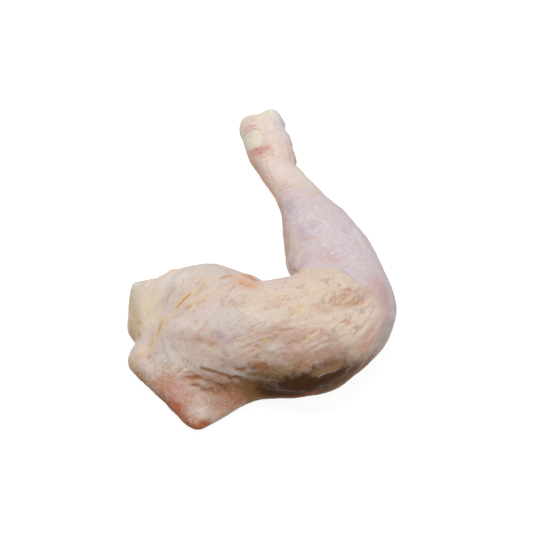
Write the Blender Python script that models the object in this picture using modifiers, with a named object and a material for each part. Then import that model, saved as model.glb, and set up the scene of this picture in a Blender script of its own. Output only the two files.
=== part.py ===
"""Raw chicken leg: thigh and drumstick in one piece, skin on, lying skin side up.

Metres, +Z up. The thigh lies along X with the knee at +X, and the drumstick runs back along +Y.
The loose skin of the hip spreads at -X. The masses are placed round a point inside the thigh, and
at the end the leg is moved so that its origin is under its middle, on the surface it lies on.
"""

import math

import bmesh
import bpy
from mathutils import Matrix, Vector

MM = 0.001
NAME = "chicken_leg"
SKIN_COLOUR = (0.79, 0.66, 0.58, 1.0)
SKIN_ROUGHNESS = 0.45


def at(x, y, z=0):
    """A point given in millimetres."""
    return Vector((x, y, z)) * MM


def ball(x, y, z, radius):
    """A rounded corner of a mass: its centre and its radius, in millimetres."""
    return at(x, y, z), radius * MM


# The drumstick from the knee to the knuckle, each ball drawn tight to the next.
DRUMSTICK = [
    ball(36, -20, 21, 23),
    ball(29.5, 8, 19, 21),
    ball(24, 25, 18, 17.3),
    ball(17.8, 41, 16, 12.5),
    ball(10.2, 56.8, 14, 9.3),
    ball(3.2, 68.5, 13, 9.2),
    ball(-1.2, 82, 12.8, 10.8),
    ball(-3, 93, 12.5, 11.6),
]
# The drumstick is flatter than it is wide, because its meat slumps.
DRUMSTICK_HEIGHT = 0.86

# The bone ends and the tendon under the skin of the knuckle: centre, half sizes, turn about Z in degrees.
KNUCKLE_HEADS = {
    "left_condyle": (at(-7.5, 96.3, 10), at(8.5, 9, 10), 0),
    "right_condyle": (at(1, 100.8, 11), at(7.2, 6.5, 10), 0),
    "heel_tendon": (at(6.4, 86, 10.5), at(6, 14, 7), 14),
}

# The thick end of the thigh, which the knee and the rest of the thigh share.
THICK_END = [ball(35, -31, 20, 21.5), ball(18, -43, 22, 24), ball(24, -29.5, 24, 22)]

# Meat and loose skin, each mass drawn tight over its rounded corners.
MEAT = {
    "knee": [ball(36, -20, 18, 23), *THICK_END],
    "thigh": [
        *THICK_END,
        ball(3, -39, 24, 22),
        ball(-6, -38, 22, 23.5),
        ball(-22, -38, 20, 20),
        ball(-39, -32, 16, 15),
    ],
    "thigh_rim": [
        ball(-8, -56, 7, 7),
        ball(8, -55, 9, 9),
        ball(26, -50, 10, 10),
        ball(36.5, -38, 13, 13),
        ball(0, -40, 10, 10),
    ],
    "skin_flap": [
        ball(-33, -77, 3, 3),
        ball(-62, -41, 5, 5.5),
        ball(-7, -58, 4, 4),
        ball(-45, -36, 12, 12),
    ],
}
HIP = {
    "thigh_back": [
        ball(-30, -17, 19, 18.5),
        ball(-10.5, -22, 17, 16.5),
        ball(-42, -14, 15, 14),
        ball(-32, -30, 18, 17),
    ],
    "hip_fat": [
        ball(-61.5, -4.5, 8, 6),
        ball(-62, -26, 7, 5.5),
        ball(-48, -8, 12, 10),
        ball(-42, -31, 15, 13),
    ],
}

# Creases pressed into the skin and ridges raised on it, each along a route on the surface:
# the route's points, the depth, which is negative on a ridge, and half the width.
FOLDS = {
    "behind_the_thigh": ([at(7, -15, 36), at(23, -9, 36), at(37, -11, 36), at(47, -19, 33)], 1.8, 6),
    "lobe_crease": ([at(-1, -20, 35), at(-9, -26, 40), at(-19, -33, 41), at(-29, -40, 38)], 2.4, 7),
    "fat_valley": ([at(-45, -7, 28), at(-48, -17, 27), at(-51, -27, 24), at(-57, -38, 16)], 1.6, 6),
    "flank_crease": ([at(-31, -54, 26), at(-20, -58, 25), at(-11, -60, 19), at(0, -63, 14)], 2.4, 5),
    "flank_ridge": ([at(-36, -52, 21), at(-27, -57, 18), at(-16, -60, 15)], -1.2, 5),
    "flap_crease": ([at(-37, -54, 16), at(-26, -58, 12), at(-14, -60, 10)], 1.6, 5),
    "belly_ridge": ([at(8, -64, 19), at(17, -66, 24), at(27, -64, 27), at(38, -56, 27)], -1.4, 5),
    "belly_crease": ([at(6, -64, 12), at(18, -66, 18), at(29, -63, 21), at(39, -54, 21)], 1.6, 5),
    "upper_hip_ridge": ([at(-47, -22, 28), at(-43, -17, 31), at(-38, -9, 32)], -1.3, 5),
    "lower_hip_ridge": ([at(-42, -31, 31), at(-36, -24, 35), at(-30, -14, 37)], -1.3, 5),
}

# How finely the masses are fused, and how many times each fused group is smoothed.
VOXEL = 2.0 * MM
MEAT_SMOOTHING = 20
HIP_SMOOTHING = 12
SKIN_SMOOTHING = 4
TRIANGLES = 11000
# A fold is this share of a half turn short of nothing at each of its ends.
FOLD_END = 0.1


def clear_scene():
    for thing in list(bpy.data.objects):
        bpy.data.objects.remove(thing, do_unlink=True)


def rounded(name, centre, half_sizes, turn):
    """An ellipsoid, as the head of a bone."""
    bm = bmesh.new()
    bmesh.ops.create_uvsphere(bm, u_segments=32, v_segments=20, radius=1)
    place = (
        Matrix.Translation(centre)
        @ Matrix.Rotation(math.radians(turn), 4, "Z")
        @ Matrix.Diagonal((*half_sizes, 1))
    )
    bmesh.ops.transform(bm, matrix=place, verts=bm.verts)
    return finish_mesh(name, bm)


def stretched(name, corners):
    """The hull round some balls, as skin pulled tight over its corners."""
    bm = bmesh.new()
    for centre, radius in corners:
        bmesh.ops.create_uvsphere(
            bm, u_segments=16, v_segments=10, radius=radius, matrix=Matrix.Translation(centre)
        )
    made = bmesh.ops.convex_hull(bm, input=bm.verts, use_existing_faces=False)
    inside = [item for item in made["geom_interior"] if isinstance(item, bmesh.types.BMVert)]
    bmesh.ops.delete(bm, geom=inside, context="VERTS")
    loose = [face for face in bm.faces if face not in made["geom"]]
    bmesh.ops.delete(bm, geom=loose, context="FACES")
    return finish_mesh(name, bm)


def chain(name, stations, height):
    """Tapered lengths from each ball to the next, then flattened towards the floor."""
    links = [stretched(name, pair) for pair in zip(stations, stations[1:])]
    for link in links:
        link.data.transform(Matrix.Diagonal((1, 1, height, 1)))
    return links


def finish_mesh(name, bm):
    bmesh.ops.recalc_face_normals(bm, faces=bm.faces)
    mesh = bpy.data.meshes.new(name)
    bm.to_mesh(mesh)
    bm.free()
    return bpy.data.objects.new(name, mesh)


def fuse(name, pieces, passes):
    """Joins overlapping shapes into one skin, softly blended."""
    bm = bmesh.new()
    for piece in pieces:
        bm.from_mesh(piece.data)
        bpy.data.objects.remove(piece, do_unlink=True)
    fused = finish_mesh(name, bm)
    bpy.context.scene.collection.objects.link(fused)
    remesh = fused.modifiers.new("Fuse", "REMESH")
    remesh.mode = "VOXEL"
    remesh.voxel_size = VOXEL
    smooth = fused.modifiers.new("Soften", "SMOOTH")
    smooth.factor = 0.5
    smooth.iterations = passes
    apply_modifiers(fused)
    return fused


def place_on_route(point, route):
    """How far a point is from a route, and how far along the route it is, from 0 to 1."""
    best = (math.inf, 0)
    for i, (start, end) in enumerate(zip(route, route[1:])):
        step = end - start
        along = min(1, max(0, (point - start).dot(step) / step.length_squared))
        away = (point - start - step * along).length
        best = min(best, (away, (i + along) / (len(route) - 1)))
    return best


def press_fold(thing, route, depth, half_width):
    """Moves the skin near a route in or out, most along its middle."""
    moved = {}
    for vert in thing.data.vertices:
        away, along = place_on_route(vert.co, route)
        if away < half_width * MM:
            across = (1 - (away / (half_width * MM)) ** 2) ** 2
            lengthways = math.sin(math.pi * (FOLD_END + (1 - 2 * FOLD_END) * along))
            press = depth * MM * across * lengthways
            moved[vert.index] = vert.co - vert.normal * press
    for index, place in moved.items():
        thing.data.vertices[index].co = place
    thing.data.update()


def apply_modifiers(thing):
    bpy.context.view_layer.update()
    graph = bpy.context.evaluated_depsgraph_get()
    mesh = bpy.data.meshes.new_from_object(thing.evaluated_get(graph))
    thing.modifiers.clear()
    thing.data = mesh


def thin_out(thing):
    """Fewer triangles where the surface is nearly flat."""
    count = sum(len(face.vertices) - 2 for face in thing.data.polygons)
    decimate = thing.modifiers.new("Thin", "DECIMATE")
    decimate.ratio = min(1, TRIANGLES / count)
    apply_modifiers(thing)


def flatten_base(thing):
    """Cuts off what is below the floor and closes the cut with a flat face."""
    bm = bmesh.new()
    bm.from_mesh(thing.data)
    cut = bmesh.ops.bisect_plane(
        bm,
        geom=bm.verts[:] + bm.edges[:] + bm.faces[:],
        plane_co=(0, 0, 0),
        plane_no=(0, 0, 1),
        clear_inner=True,
    )
    rim = [item for item in cut["geom_cut"] if isinstance(item, bmesh.types.BMEdge)]
    bmesh.ops.holes_fill(bm, edges=rim, sides=0)
    bmesh.ops.recalc_face_normals(bm, faces=bm.faces)
    bm.to_mesh(thing.data)
    bm.free()


def centre_on_floor(thing):
    """Puts the origin under the middle of the leg."""
    corners = [Vector(corner) for corner in thing.bound_box]
    low, high = corners[0], corners[6]
    middle = (low + high) / 2
    thing.data.transform(Matrix.Translation((-middle.x, -middle.y, -low.z)))


def raw_skin():
    material = bpy.data.materials.new("raw_skin")
    material.use_nodes = True
    shader = material.node_tree.nodes["Principled BSDF"]
    shader.inputs["Base Color"].default_value = SKIN_COLOUR
    shader.inputs["Roughness"].default_value = SKIN_ROUGHNESS
    shader.inputs["Metallic"].default_value = 0.0
    return material


def collect(thing):
    """Puts the leg in a collection of its own."""
    parts = bpy.data.collections.new(NAME + "_parts")
    bpy.context.scene.collection.children.link(parts)
    bpy.context.scene.collection.objects.unlink(thing)
    parts.objects.link(thing)


def main():
    clear_scene()
    meat = fuse("meat", [stretched(*entry) for entry in MEAT.items()], MEAT_SMOOTHING)
    hip = fuse("hip", [stretched(*entry) for entry in HIP.items()], HIP_SMOOTHING)
    drumstick = chain("drumstick", DRUMSTICK, DRUMSTICK_HEIGHT)
    knuckle = [rounded(name, *shape) for name, shape in KNUCKLE_HEADS.items()]
    leg = fuse(NAME, [meat, hip, *drumstick, *knuckle], SKIN_SMOOTHING)
    for fold in FOLDS.values():
        press_fold(leg, *fold)
    thin_out(leg)
    flatten_base(leg)
    centre_on_floor(leg)
    leg.data.shade_smooth()
    leg.data.materials.append(raw_skin())
    collect(leg)


main()
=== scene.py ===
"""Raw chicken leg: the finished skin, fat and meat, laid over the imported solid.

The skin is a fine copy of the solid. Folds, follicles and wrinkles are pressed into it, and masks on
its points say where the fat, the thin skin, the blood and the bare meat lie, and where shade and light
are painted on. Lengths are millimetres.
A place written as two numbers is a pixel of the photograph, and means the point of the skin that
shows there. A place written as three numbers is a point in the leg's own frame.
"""

import math

import bmesh
import bpy
import numpy as np
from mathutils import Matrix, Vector, kdtree, noise
from mathutils.bvhtree import BVHTree


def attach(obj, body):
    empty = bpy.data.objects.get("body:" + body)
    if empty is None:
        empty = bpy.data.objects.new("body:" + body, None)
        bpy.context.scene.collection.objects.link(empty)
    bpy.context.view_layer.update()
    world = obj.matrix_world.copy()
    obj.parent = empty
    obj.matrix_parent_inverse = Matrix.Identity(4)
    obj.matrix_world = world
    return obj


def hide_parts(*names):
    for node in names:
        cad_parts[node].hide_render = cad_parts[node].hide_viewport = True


MM = 0.001
NODE = "chicken_leg"

# The photograph and the place that it was taken from.
PHOTO_SIDE = 540
SENSOR = 36.0
LENS = 92.2
NEAREST = 10
VIEW_ELEVATION = math.radians(53)
VIEW_DISTANCE = 650
VIEW_TARGET = Vector((4.1, -15.2, 20))
VIEW_RIGHT = Vector((1, 0, 0))
VIEW_UP = Vector((0, math.sin(VIEW_ELEVATION), math.cos(VIEW_ELEVATION)))
VIEW_BACK = Vector((0, -math.cos(VIEW_ELEVATION), math.sin(VIEW_ELEVATION)))

# The light of the room, which is even above and at the sides and dim below, and the floor.
LAMP_PLACE = Vector((-100, 130, 920))
LAMP_SIZE = 520
LAMP_POWER = 4.2
LAMP_COLOUR = (1.0, 0.99, 0.97)
ROOM_ABOVE = (0.66, 0.665, 0.67, 1.0)
ROOM_BELOW = (0.10, 0.07, 0.05, 1.0)
ROOM_RISE = (0.0, 0.8, 0.6)
ROOM_SIDES = 0.7
ROOM_DUSK = (-0.9, -0.3)
FLOOR_HALF_SIDE = 4000
FLOOR_WHITE = {
    "Base Color": (0.25, 0.25, 0.25, 1.0),
    "Roughness": 0.9,
    "Specular IOR Level": 0.0,
    "Emission Color": (1.0, 1.0, 1.0, 1.0),
    "Emission Strength": 0.86,
}

# How fine the skin's mesh is, how close its points are joined, and how far its facets are softened.
SKIN_VOXEL = 0.67
WELD = 0.01
SMOOTH_SHARE = 0.5
FACET_SMOOTHING = 12

# The edges where loose skin laps over what is beside it. The skin on the right of each route lies on top.
THIGH_EDGE = [
    (291, 276), (298, 271), (307, 268), (318, 267), (330, 267),
    (341, 269), (347, 274), (356, 281), (366, 285),
]
LOBE_EDGE = [(227, 302), (239, 293), (251, 286), (264, 282)]
PAD_EDGE = [(157, 335), (160, 325), (165, 310), (169, 298), (173, 289)]
BELLY_EDGE = [(346, 367), (338, 369), (330, 372), (322, 375), (312, 379)]

# How far each lapping skin stands up at its edge, and how far back from the edge it does.
LAPS = {
    "thigh_over_drumstick": (THIGH_EDGE, 1.0, 5.0),
    "thigh_over_lobe": (LOBE_EDGE, 0.7, 4.0),
    "hip_over_pad": (PAD_EDGE, 0.5, 3.0),
    "flank_over_belly": (BELLY_EDGE, 0.4, 2.0),
}

# Where the flesh lies smoother than in the solid: a route and half the width.
SMOOTH_ZONES = [
    ([(183, 357), (212, 367), (242, 381)], 10),
    ([(186, 375), (212, 383), (240, 390)], 7),
    ([(177, 282), (168, 300), (160, 320)], 6),
    ([(268, 391), (300, 387), (330, 380), (350, 369)], 8),
]
SMOOTH_PASSES = 80

# Slack and fullness of the flesh: the route, the depth, which is negative where the flesh is fuller,
# and half the width.
SHAPES = {
    "knee_slack": ([(387, 336), (383, 349), (374, 360), (362, 370)], 3.5, 6),
    "belly_slack": ([(262, 396), (285, 397), (300, 396)], 0.9, 5),
    "belly_corner": ([(312, 394), (324, 391), (336, 386)], 2.5, 5),
    "belly_crease_fullness": (
        [(12, -79.5, 17), (22, -78.5, 18), (30, -77, 18), (38, -72.5, 19)],
        -1.8, 4.5,
    ),
    "thigh_shoulder": ([(266, 282), (276, 280), (286, 277)], 0.9, 4),
    "ankle_slack": ([(252, 164), (258, 173), (265, 183)], 1.0, 4),
    "shin_fullness": ([(297, 168), (306, 179), (314, 187)], -1.2, 4),
    "calf_fullness": ([(283, 222), (285, 250), (287, 268)], -0.9, 5),
    "knuckle_fullness": ([(252, 116), (243, 121), (240, 130)], -1.0, 4),
    "knuckle_cap": ([(263, 112), (269, 110), (275, 112)], -0.6, 4),
    "knuckle_corner_slack": ([(281, 114), (284, 122)], 1.1, 3),
    "patch_side_slack": ([(240, 138), (243, 145)], 0.9, 3),
    "heel_foot": ([(292, 157), (296, 164), (300, 172)], -1.5, 3.5),
    "crotch_fullness": ([(287, 257), (289, 266), (291, 273)], -0.9, 3),
    "hip_top_slack": ([(186, 265), (198, 262), (212, 263)], 1.0, 4),
    "lobe_shoulder": ([(246, 275), (252, 277), (258, 280)], -0.7, 3),
    "notch_fullness": ([(133, 343), (135, 348)], -0.7, 3),
    "heel_slack": ([(293, 143), (295, 154)], 1.2, 4),
    "calf_edge_slack": ([(362, 232), (368, 242), (374, 254)], 0.8, 4),
    "hip_shoulder": ([(168, 272), (176, 269)], -1.3, 4),
    "hip_corner_slack": ([(150, 276), (158, 272)], 1.0, 4),
    "pad_shoulder": ([(141, 283), (150, 280), (158, 276)], 1.3, 3),
    "pad_nub": ([(131, 287), (134, 283), (139, 281)], -1.1, 2.5),
    "flap_rim": ([(130, 355), (129, 366), (135, 375), (142, 383)], -0.6, 4),
    "flank_fullness": ([(188, 360), (212, 364), (240, 375)], -1.3, 5),
    "flap_fullness": ([(182, 376), (206, 382), (240, 389)], -0.7, 5),
    "knee_side_fullness": ([(392, 312), (392, 324)], -1.3, 5),
}

# Creases pressed into the skin and ridges on it: the route, the depth, which is negative on a ridge,
# half the width, and for some a tint and its strength.
# The tints in the creases are partly painted shade and the light ones on the lips and ridges partly painted
# light; the veins' pink and the fat's yellow are their own colours.
FOLDS = {
    # The tint in this crease is mostly painted shadow.
    "crease_under_flank": [(
        [(202, 368), (209, 370), (216, 372), (222, 374), (229, 376)],
        0.2, 1.0, "sienna", 1.2,
    )],
    # The tint on this lip is painted light.
    "lip_over_crease": [([(231, 371), (238, 373), (244, 375)], -0.5, 1.2, "milk", 1.0)],
    # The tint on this lip is painted light.
    "lip_below_crease": [([(203, 372), (210, 374), (216, 377)], -0.35, 1.0, "pale", 0.6)],
    # The tints in these creases are partly painted shade, partly the crumpled skin's own brownish colour.
    "crumples": [
        ([(188, 378), (193, 378), (199, 377)], 0.4, 1.2, "sienna", 1.1),
        ([(201, 378), (206, 380), (212, 380)], 0.3, 1.2, "sienna", 0.65),
        ([(173, 377), (178, 380), (186, 380)], 0.3, 1.0, "rosy", 0.8),
        ([(192, 385), (196, 385), (200, 386)], 0.4, 0.9, "brown", 0.9),
        ([(202, 388), (207, 390), (211, 389)], 0.4, 1.1, "brown", 0.8),
        ([(211, 391), (217, 392), (223, 393)], 0.35, 1.1, "sienna", 0.9),
        ([(218, 383), (223, 386), (228, 391)], 0.3, 1.1, "brown", 0.65),
        ([(230, 384), (234, 387), (236, 391)], 0.3, 1.2, "sienna", 1.0),
        ([(237, 369), (241, 369), (245, 368)], 0.35, 1.3, "sienna", 1.0),
        ([(230, 378), (235, 377), (240, 377)], 0.3, 1.3, "brown", 0.9),
    ],
    # The tints on these lips are painted light on the crumples' ridges.
    "lips": [
        ([(181, 384), (184, 385), (187, 386)], -0.3, 1.0, "milk", 1.0),
        ([(200, 383), (204, 384), (207, 385)], -0.3, 1.0, "milk", 0.9),
        ([(190, 388), (194, 388), (198, 388)], -0.3, 1.0, "milk", 0.8),
        ([(212, 389), (216, 388), (219, 388)], -0.25, 0.9, "milk", 0.7),
        ([(203, 396), (208, 397), (212, 397)], -0.25, 1.2, "milk", 0.6),
        ([(186, 374), (190, 371), (196, 370)], -0.25, 1.2, "milk", 0.6),
        ([(218, 380), (223, 382), (227, 382)], -0.25, 0.9, "milk", 0.6),
    ],
    "belly_hem": [([(340, 373), (332, 377), (320, 381)], -0.1, 1.2)],
    "upper_streak_groove": [([(191, 293), (184, 300), (176, 308)], 0.4, 0.9)],
    "lower_streak_groove": [([(206, 298), (197, 304), (188, 308)], 0.3, 1.0)],
    # The tints in these folds are partly painted shade.
    "hip_folds": [
        ([(195, 288), (199, 283), (203, 279)], 0.35, 0.8, "khaki", 0.7),
        ([(218, 288), (226, 285), (234, 281)], 0.3, 0.9, "mottle", 0.5),
        ([(200, 291), (205, 287), (209, 285)], 0.25, 0.9, "khaki", 0.4),
        ([(235, 284), (232, 288), (230, 292)], 0.35, 0.8, "mottle", 1.0),
        ([(185, 312), (178, 316), (171, 320)], 0.3, 0.8, "dusk", 0.5),
        ([(167, 301), (170, 294), (175, 288)], 0.35, 0.8, "khaki", 0.9),
        ([(230, 294), (226, 297), (221, 302)], 0.3, 0.9, "mottle", 0.6),
    ],
    "hip_ridges": [
        ([(186, 277), (180, 281), (175, 287)], -0.4, 1.0, "milk", 0.7),
        ([(228, 281), (221, 284), (214, 289)], -0.3, 0.9, "milk", 0.4),
        ([(206, 292), (214, 291), (222, 293)], -0.3, 1.0, "yellow_fat", 0.4),
    ],
    "lobe_folds": [
        ([(221, 279), (230, 276), (240, 277), (248, 281)], 0.4, 0.9),
        ([(225, 270), (228, 273), (231, 276)], 0.3, 0.7, "mottle", 0.7),
    ],
    "left_arcs": [
        ([(163, 328), (161, 340), (164, 352), (170, 362)], 0.35, 1.0, "mottle", 0.3),
        ([(167, 328), (165, 342), (168, 354), (176, 362)], -0.3, 1.0, "milk", 0.4),
        ([(172, 334), (170, 345), (175, 354)], 0.25, 1.0),
    ],
    "crotch_wrinkles": [
        ([(305, 254), (301, 262), (299, 268)], 0.15, 0.8, "khaki", 0.5),
        ([(300, 253), (297, 261), (296, 268)], -0.15, 0.8, "shell", 0.6),
        ([(295, 250), (293, 258), (293, 266)], 0.15, 0.8, "mottle", 0.6),
    ],
    # The tints between the wrinkles are partly painted shade.
    "knuckle_wrinkles": [
        ([(243, 128), (248, 124), (253, 121), (257, 120)], 0.2, 0.6, "mottle", 0.5),
        ([(243, 132), (247, 128), (252, 126), (256, 125)], 0.28, 0.6, "ochre", 0.6),
        ([(244, 136), (249, 132), (254, 129), (260, 130)], 0.25, 0.6, "ochre", 0.7),
        ([(246, 124), (251, 120), (258, 117)], 0.18, 0.6, "mottle", 0.4),
        ([(242, 125), (246, 121), (252, 118)], 0.18, 0.6, "mottle", 0.4),
    ],
    "patch_foot": [([(248, 153), (256, 152), (264, 148)], 0.3, 0.9)],
    "shin_vein": [([(266, 158), (268, 168), (272, 178), (275, 184)], -0.1, 0.6, "pink", 0.5)],
    "shin_vein_left": [([(262, 162), (264, 171), (268, 180)], -0.1, 0.7, "pink", 0.4)],
    "shin_tendon": [([(263, 160), (266, 171)], -0.12, 1.1, "shell", 0.6)],
    # The tint in this groove is painted shadow.
    "heel_groove": [([(286, 140), (290, 154), (295, 166)], 0.4, 1.1, "mottle", 0.5)],
    "heel_cord": [([(289, 134), (293, 148), (295, 158)], -0.4, 1.2)],
}

# Small pits in the skin: the place, the depth, the radius, and a tint and its strength.
PORES = {
    "knee_pores": [
        ((350, 291), 0.4, 0.9, "pore", 0.9),
        ((345, 296), 0.4, 0.8, "pore", 0.7),
        ((339, 285), 0.4, 0.8, "pore", 0.7),
        ((329, 278), 0.3, 0.8, "pore", 0.4),
        ((354, 282), 0.3, 0.8, "ochre", 0.5),
        ((335, 292), 0.3, 0.9, "ochre", 0.5),
        ((362, 313), 0.3, 0.8, "ochre", 0.6),
        ((365, 346), 0.3, 1.1, "pore", 0.5),
    ],
    "knee_spot": [((383, 277), 0.1, 0.8, "orange_fat", 0.8)],
    "thigh_pores": [
        ((316, 276), 0.2, 0.7, "ochre", 0.7),
        ((285, 283), 0.1, 1.2, "ochre", 0.6),
        ((334, 319), 0.2, 0.8, "ochre", 0.7),
        ((315, 324), 0.2, 0.7, "ochre", 0.7),
        ((276, 307), 0.1, 1.2, "ochre", 0.5),
        ((322, 331), 0.2, 1.0, "ochre", 0.8),
        ((275, 337), 0.2, 0.9, "sienna", 0.5),
    ],
    "thigh_fats": [
        ((300, 306), -0.1, 1.0, "yolk", 1.2),
        ((298, 312), -0.1, 1.3, "yolk", 1.2),
        ((265, 340), -0.1, 1.2, "yolk", 1.0),
        ((309, 339), -0.1, 0.9, "yolk", 0.9),
        ((302, 272), -0.1, 1.1, "yolk", 0.35),
        ((317, 328), -0.1, 0.8, "yolk", 0.7),
    ],
    "pad_pores": [
        ((134, 315), 0.2, 1.1, "ochre", 0.9),
        ((140, 323), 0.2, 1.4, "ochre", 0.8),
        ((139, 335), 0.2, 1.4, "ochre", 0.9),
        ((145, 291), 0.1, 0.6, "ochre", 0.5),
    ],
    "flap_pore": [((149, 357), 0.2, 1.6, "orange_fat", 0.6)],
    "flap_rust": [((177, 407), 0.1, 3.0, "rust", 1.0)],
    "flank_rust": [((265, 366), 0.2, 2.6, "sienna", 1.1)],
    "blood_spots": [
        ((260, 153), 0.1, 1.0, "blood", 0.85),
        ((257, 149), 0.0, 0.8, "blood", 0.7),
        ((262, 149), 0.0, 0.9, "blood", 0.7),
        ((267, 148), 0.0, 1.0, "blood", 0.6),
        ((268, 154), 0.0, 0.8, "blood", 0.6),
        ((264, 157), 0.0, 0.8, "blood", 0.5),
        ((253, 153), 0.0, 1.0, "blood", 0.5),
        ((270, 150), 0.0, 0.6, "blood", 0.3),
    ],
}

# How much of a half wave is missing at each end of a fold, a lap and a mark, and over what width an edge
# of a lap or a mark eases in.
FOLD_END = 0.12
LAP_END = 0.05
MARK_END = 0.2
EDGE_REACH = 1.2

# How uneven the edges of marks are, and how much wider than its crease a crease's tint is.
MARK_RAGGEDNESS = 0.4
SIDE_RAGGEDNESS = 0.3
PORE_RAGGEDNESS = 0.5
CREASE_TINT_WIDTH = 1.1

# Random waves, added up: the strength of each, its length in every direction or along three axes, and a
# number that sets it apart from the others.
WAVES = {
    "fold_wander": [(0.3, 5, 1), (0.15, 2.5, 9)],
    "mark_wander": [(1, 4, 2), (0.5, 1.8, 3)],
    "grain_wander": [(0.8, 6, 15)],
    "undulation": [(0.1, 2.4, 7), (0.3, 7, 8)],
    "bulges": [(1, (5.2, 2.4, 5.2), 4)],
    "beads": [(1, (2.7, 1.6, 2.7), 5)],
    "drape": [(1, (9, 3.2, 9), 13)],
    "crumples": [(1, 2.8, 11), (0.6, 1.5, 12)],
    "hip_creases": [(1, (4.5, 2.4, 4.5), 6)],
    "hip_ridges": [(1, (4.5, 2.2, 4.5), 14)],
    "flap_creases": [(1, (6, 3.0, 2.2), 10)],
    "meat_rim": [(2.5, 11, 21), (0.8, 3, 22)],
    "meat_bend": [(3, 26, 26)],
    "bundles": [(1, (30, 4.5, 14), 23)],
    "strands": [(1, (14, 1.5, 8), 24)],
    "sinew_gaps": [(1.4, 8, 27)],
    "fat_gaps": [(1, 6, 25)],
}
SEED_STEP = 17.3

# How steeply the skin's grain rises to the right in the photograph, in degrees, at places across the leg.
GRAIN_TILT = [(-60, 55), (-45, 50), (-30, 38), (-15, 26), (5, 18), (25, 20), (38, 28), (47, 42), (60, 52)]

# How far to each side the grain is worked out, in how many steps, and how far its lines spread. Skin that
# faces the camera less than a least share counts as that share, and no line's length counts as nothing.
GRAIN_HALF_SPAN = 80
GRAIN_STEPS = 320
GRAIN_SPREAD = 0.85
LEAST_FACING = 0.25
NOTHING = 1e-9

# Where the skin is puckered: for each area, routes and half their width.
ZONES = {
    "thigh": [
        ([(285, 294), (320, 291), (350, 297), (370, 315)], 15),
        ([(255, 312), (300, 325), (340, 330), (365, 335)], 16),
        ([(245, 350), (280, 355), (320, 358)], 10),
    ],
    "side": [
        ([(378, 305), (380, 322), (370, 342)], 9),
    ],
    "knee": [
        ([(340, 290), (352, 298), (364, 318)], 12),
        ([(270, 338), (300, 340), (330, 340)], 6),
    ],
    "hip": [
        ([(180, 290), (205, 295), (235, 290)], 16),
        ([(184, 328), (205, 335), (235, 335)], 16),
        ([(-52, -14, 12), (-26, -10, 14), (-2, -14, 12)], 15),
    ],
    "flap": [
        ([(175, 374), (205, 381), (245, 386)], 9),
        ([(160, 385), (195, 405)], 12),
    ],
    "calf": [
        ([(290, 190), (303, 215), (315, 235), (335, 250)], 13),
        ([(286, 206), (289, 235), (292, 262)], 6),
        ([(350, 232), (362, 258)], 9),
        ([(62, -33, 14), (55, -8, 12), (46, 10, 12), (36, 24, 10)], 12),
        ([(12, -6, 10), (11, 10, 10), (10, 24, 9)], 8),
    ],
}

# The relief of each area's skin: the area, the form, how high the form stands in millimetres and what the
# knee adds to that, and how much it lightens the skin and what the knee adds to that.
# The lightening is partly painted light on the crests of the relief and painted shade in its hollows, and
# partly the follicles' own paler tone.
RELIEF = [
    ("thigh", "bulges", 0.17, 0.4, 0.26, 0.34),
    ("thigh", "beads", 0.1, 0, 0.14, 0),
    ("thigh", "drape", 0.25, 0.3, 0.46, 0.05),
    ("hip", "crumples", 0.12, 0, 0.25, 0),
    ("hip", "hip_creases", -0.12, 0, -0.15, 0),
    ("hip", "hip_ridges", 0.08, 0, 0.2, 0),
    ("flap", "crumples", 0.24, 0, 0.45, 0),
    ("flap", "flap_creases", -0.24, 0, -0.25, 0),
    ("calf", "dots", 0.16, 0, 0.65, 0),
]

# How strong the swells of the bulges and beads are and how much is taken from them, how wide the creases
# and ridges are on their waves, how light flat skin is, and how much darker the calf is.
SWELL_GAIN = 2.2
SWELL_LEVEL = 0.45
HIP_CREASE_WIDTH = 0.1
HIP_RIDGE_WIDTH = 0.09
FLAP_CREASE_WIDTH = 0.12
CREST_LEVEL = 0.45
CALF_DIMMING = 0.16

# The share of the thigh's relief that the calf doesn't have under the thigh's edge, the share that is left
# out along the thigh's side, and the least that the side has.
UNDER_EDGE_SHARE = 0.9
SIDE_SHARE = 0.45
SIDE_LEAST = 0.5

# The dots of the calf's follicles: their chance at each point, their length and width, how many times
# their own size they lie apart, and how much their sizes and heights vary.
DOT_SEED = 7
DOT_CHANCE = 0.6
DOT_SIZE = (1.35, 1.25)
DOT_SPACING = 2.2
DOT_SIZES = (0.7, 1.3)
DOT_HEIGHTS = (0.4, 1.0)

# Where the thigh's underside is bare meat inside its margin of skin: a route, half the width, how far the
# meat lies back from the skin, over what width its edge eases in, where the fat along its edge lies and how
# wide it is, and how wide and deep the seams are and how high the strands.
MEAT_ROUTE = [(-40, -48, 0), (-15, -54, 0), (12, -52, 0), (30, -44, 0)]
MEAT_HALF_WIDTH = 16
MEAT_DEPTH = 0.8
MEAT_EDGE = 1.6
MEAT_FAT_INSET = 0.4
MEAT_FAT_WIDTH = 2.2
SEAM_WIDTH = 0.06
SEAM_DEPTH = 0.5
STRAND_HEIGHT = 0.2

# The share of dark meat, and how much the strands and the bundles take from it, the strength and the share
# of the sinews, and the share of the fat.
DARK_MEAT = (0.3, 0.9, 0.4)
SINEW_STRENGTH = 0.6
SINEW_SHARE = 0.3
FAT_SHARE = 0.5

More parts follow.
